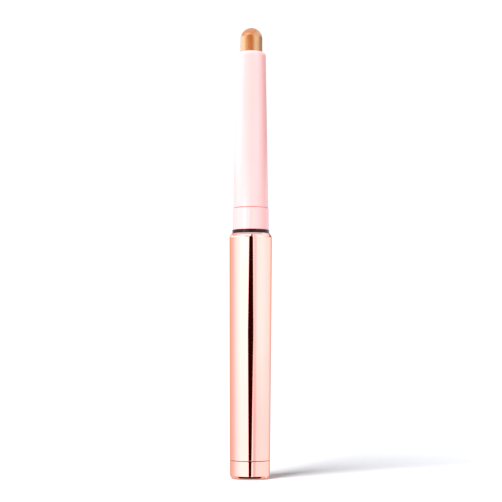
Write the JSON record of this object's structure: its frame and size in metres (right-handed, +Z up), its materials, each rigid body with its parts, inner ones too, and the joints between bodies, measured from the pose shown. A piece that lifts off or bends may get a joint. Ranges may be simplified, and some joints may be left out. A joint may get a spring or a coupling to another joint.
{
  "type": "twist-up eyeshadow stick",
  "caption": "Slim twist-up cream eyeshadow stick with its cap off: a mirror rose gold barrel, a turning base knob, a tapered pink nozzle and a domed bullet that feeds out.",
  "frame": {"origin": "centre of the face the stick stands on, at the bottom of the twist knob", "axes": "+Z runs up the stick's axis to the tip of the bullet; +X and +Y are across the round body, with the nut's keys on the X axis"},
  "size_m": [0.0126, 0.0126, 0.1337],
  "materials": {
    "rose_gold_mirror": "vacuum-metallised ABS under clear lacquer, mirror",
    "black_gloss_plastic": "moulded black ABS, gloss",
    "black_satin_plastic": "moulded black acetal, satin",
    "natural_acetal": "moulded natural acetal, satin",
    "blush_pink_gloss": "moulded pale pink ABS, high gloss",
    "nitrile_rubber": "moulded nitrile rubber",
    "label_film": "blank coated polypropylene film",
    "white_rod_plastic": "moulded white polypropylene",
    "clear_cup_plastic": "moulded natural polypropylene",
    "cream_shadow": "cast pearl cream, satin shimmer"
  },
  "bodies": {
    "barrel": {"barrel_sleeve": "rose_gold_mirror", "inner_housing": "black_gloss_plastic", "tail_bush": "black_satin_plastic", "rod_bush": "natural_acetal", "cap_collar": "blush_pink_gloss", "nozzle": "blush_pink_gloss"},
    "knob": {"knob_cup": "rose_gold_mirror", "knob_core": "black_satin_plastic", "spindle": "natural_acetal", "drag_ring": "nitrile_rubber", "shade_label": "label_film"},
    "feed": {"drive_nut": "natural_acetal", "piston_rod": "white_rod_plastic", "product_cup": "clear_cup_plastic", "product_bullet": "cream_shadow"}
  },
  "joints": [
    {"name": "base_twist", "type": "hinge", "parent": "barrel", "child": "knob", "pos_m": [0, 0, 0], "axis": [0, 0, 1], "range_deg": [-990, 2700]},
    {"name": "product_feed", "type": "slide", "parent": "barrel", "child": "feed", "axis": [0, 0, 1], "range_m": [-0.00825, 0.0225]}
  ],
  "couplings": [
    {"joint": "base_twist", "follows": "product_feed", "rad_per_m": 2094.4}
  ]
}
